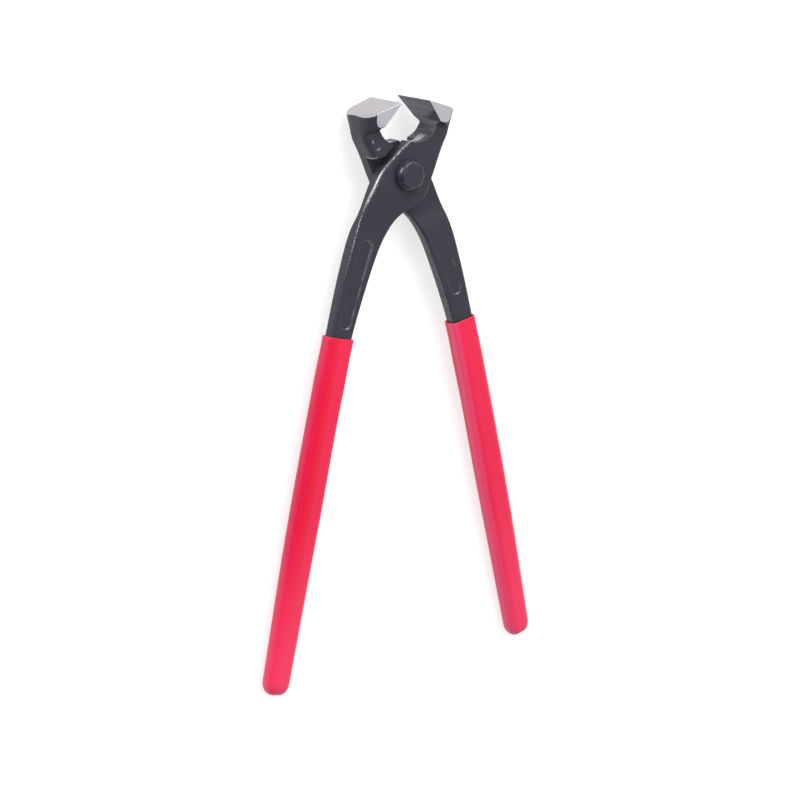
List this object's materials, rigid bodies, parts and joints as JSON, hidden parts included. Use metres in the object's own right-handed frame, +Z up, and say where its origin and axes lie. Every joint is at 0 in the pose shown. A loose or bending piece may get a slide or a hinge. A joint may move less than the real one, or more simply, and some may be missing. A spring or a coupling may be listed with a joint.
{
  "type": "concreters nippers",
  "caption": "Crossed forged levers on a rivet: broad end-cutting jaws with a round hollow mouth, long slim handles in dipped red plastic.",
  "frame": {"origin": "middle of the overall box in X and Y, at the level of the lowest point, with the nippers lying on their side and part open", "axes": "+Y along the tool from the handle ends to the jaws, +X to the front lever's jaw, +Z up along the rivet"},
  "size_m": [0.1364, 0.2412, 0.0225],
  "materials": {
    "forged_steel": "satin black oxide, jaw tops and cheeks ground bright",
    "rivet_steel": "satin black oxide",
    "dipped_plastic": "glossy dipped red"
  },
  "bodies": {
    "rear_half": {"rear_lever": "forged_steel", "rear_handle_coat": "dipped_plastic", "pivot_rivet": "rivet_steel"},
    "front_half": {"front_lever": "forged_steel", "front_handle_coat": "dipped_plastic"}
  },
  "joints": [
    {"name": "jaw_pivot", "type": "hinge", "parent": "rear_half", "child": "front_half", "pos_m": [0, 0.09049, 0.01125], "axis": [0, 0, 1], "range_deg": [-28, 24]}
  ]
}
